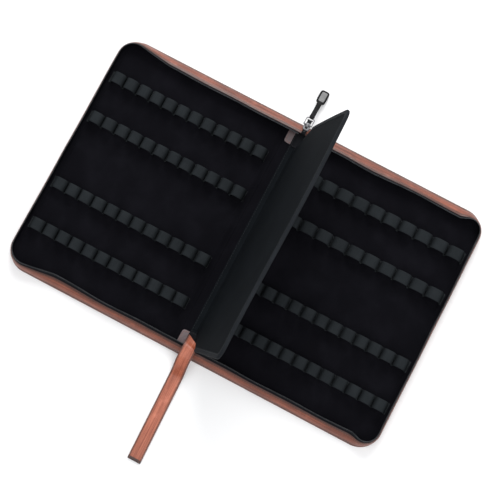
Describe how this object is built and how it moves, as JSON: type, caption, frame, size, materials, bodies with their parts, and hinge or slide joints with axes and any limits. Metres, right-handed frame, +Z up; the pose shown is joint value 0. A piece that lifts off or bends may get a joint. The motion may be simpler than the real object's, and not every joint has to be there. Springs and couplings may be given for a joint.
{
  "type": "fountain pen case",
  "caption": "Zip-around leather pen binder lying open: two padded covers with rows of elastic pen loops, a hinged divider page, a zip slider with puller and a wrist strap.",
  "frame": {"origin": "centre of the spine's outer face, on the surface that the open case lies on", "axes": "+X across the spine to the right cover, +Y along the spine to the end with the zip slider, +Z up out of the open case"},
  "size_m": [0.5, 0.5072, 0.2099],
  "materials": {
    "shell_leather": "grained brown synthetic leather with a soft sheen",
    "piping_leather": "brown synthetic leather rolled over a cord",
    "patch_leather": "brown mauve synthetic leather",
    "strap_leather": "reddish brown synthetic leather, glossy, with dark cut edges",
    "lining_fabric": "black brushed lining cloth",
    "page_fabric": "black woven page cloth",
    "page_core": "dense black felt stiffener",
    "page_binding": "black ribbed binding tape",
    "elastic_webbing": "charcoal ribbed elastic webbing",
    "zip_tape": "black woven zip tape",
    "zip_coil": "dark grey nylon coil",
    "stiffener_board": "grey board",
    "padding_foam": "thin soft padding",
    "nickel": "polished nickel plate",
    "puller_rubber": "black moulded rubber",
    "puller_inlay": "grey textured inlay"
  },
  "bodies": {
    "spine": {"divider_hinge_tape": "page_fabric", "left_fold_leather": "shell_leather", "left_fold_lining": "lining_fabric", "left_zip_tails": "zip_tape", "right_fold_leather": "shell_leather", "right_fold_lining": "lining_fabric", "right_zip_tails": "zip_tape", "spine_board": "stiffener_board", "spine_end_patches": "patch_leather", "spine_end_tabs": "shell_leather", "spine_leather": "shell_leather", "spine_lining": "lining_fabric", "spine_piping": "piping_leather", "strap_root": "strap_leather", "zip_bottom_join": "zip_tape", "zip_end_stop": "nickel", "zip_stub": "zip_tape"},
    "left_cover": {"left_cover_board": "stiffener_board", "left_cover_foam": "padding_foam", "left_cover_gusset": "shell_leather", "left_cover_leather": "shell_leather", "left_cover_lining": "lining_fabric", "left_cover_piping": "piping_leather", "left_gusset_lining": "lining_fabric", "left_lower_far_loops": "elastic_webbing", "left_lower_near_loops": "elastic_webbing", "left_upper_far_loops": "elastic_webbing", "left_upper_near_loops": "elastic_webbing", "left_zip_tape": "zip_tape", "left_zip_teeth": "zip_coil"},
    "right_cover": {"right_cover_board": "stiffener_board", "right_cover_foam": "padding_foam", "right_cover_gusset": "shell_leather", "right_cover_leather": "shell_leather", "right_cover_lining": "lining_fabric", "right_cover_piping": "piping_leather", "right_gusset_lining": "lining_fabric", "right_lower_far_loops": "elastic_webbing", "right_lower_near_loops": "elastic_webbing", "right_upper_far_loops": "elastic_webbing", "right_upper_near_loops": "elastic_webbing", "right_zip_tape": "zip_tape", "right_zip_teeth": "zip_coil"},
    "divider": {"divider_binding": "page_binding", "divider_core": "page_core", "divider_face_left": "page_fabric", "divider_face_right": "page_fabric"},
    "zip_slider": {"slider_body": "nickel", "slider_bridge": "nickel"},
    "zip_puller": {"puller_grip": "puller_rubber", "puller_inlays": "puller_inlay", "puller_link": "nickel", "puller_stem": "puller_rubber"},
    "wrist_strap": {"wrist_strap": "strap_leather"}
  },
  "joints": [
    {"name": "left_cover_fold", "type": "hinge", "parent": "spine", "child": "left_cover", "pos_m": [-0.022, 0, 0], "axis": [0, 1, 0], "range_deg": [0, 90], "deforming": ["left_fold_leather", "left_fold_lining", "left_zip_tails"]},
    {"name": "right_cover_fold", "type": "hinge", "parent": "spine", "child": "right_cover", "pos_m": [0.022, 0, 0], "axis": [0, -1, 0], "range_deg": [0, 90], "deforming": ["right_fold_leather", "right_fold_lining", "right_zip_tails"]},
    {"name": "divider_lean", "type": "hinge", "parent": "spine", "child": "divider", "pos_m": [0, 0, 0.0061], "axis": [0, -1, 0], "range_deg": [0, 12]},
    {"name": "slider_slide", "type": "slide", "parent": "spine", "child": "zip_slider", "axis": [0, 1, 0], "range_m": [0, 0.003]},
    {"name": "puller_swing", "type": "hinge", "parent": "zip_slider", "child": "zip_puller", "pos_m": [0, 0.158, 0.02085], "axis": [1, 0, 0], "range_deg": [0, 109]},
    {"name": "strap_swing", "type": "hinge", "parent": "spine", "child": "wrist_strap", "pos_m": [0.0005, -0.161, 0.0236], "axis": [-1, 0, 0], "range_deg": [0, 90]}
  ],
  "couplings": [
    {"joint": "divider_lean", "follows": "right_cover_fold", "ratio": 0.1333}
  ]
}
